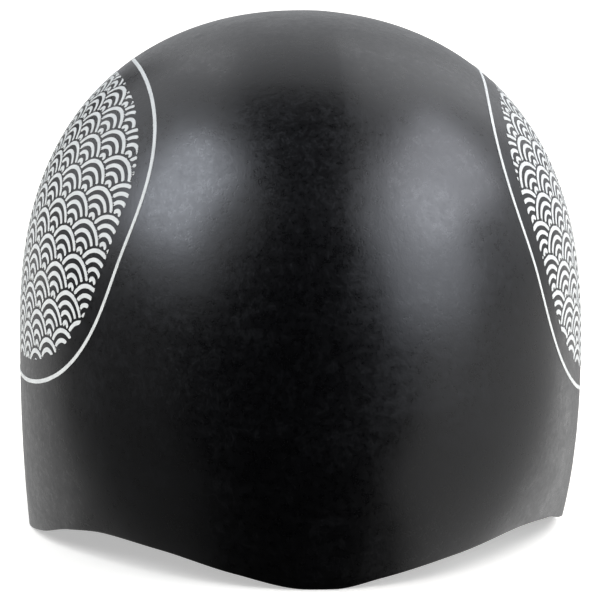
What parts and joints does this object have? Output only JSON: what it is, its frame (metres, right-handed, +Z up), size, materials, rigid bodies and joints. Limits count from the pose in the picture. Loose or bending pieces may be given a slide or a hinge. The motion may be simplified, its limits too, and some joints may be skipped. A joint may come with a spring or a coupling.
{
  "type": "swim cap",
  "caption": "Dome-shaped moulded silicone swim cap with a wavy cut rim, low at the nape, ears and forehead and open below for the swimmer's head.",
  "frame": {"origin": "on the floor that the rim stands on, under the middle of the cap's box", "axes": "+Z up to the crown, -Y to the nape, +Y to the forehead, X from ear to ear"},
  "size_m": [0.15, 0.188, 0.14],
  "materials": {
    "silicone": "matt near-black silicone rubber with a soft sheen",
    "white_ink": "matt white silicone ink, screen printed on both sides"
  },
  "bodies": {
    "root": {"cap_shell": "silicone"}
  },
  "joints": []
}
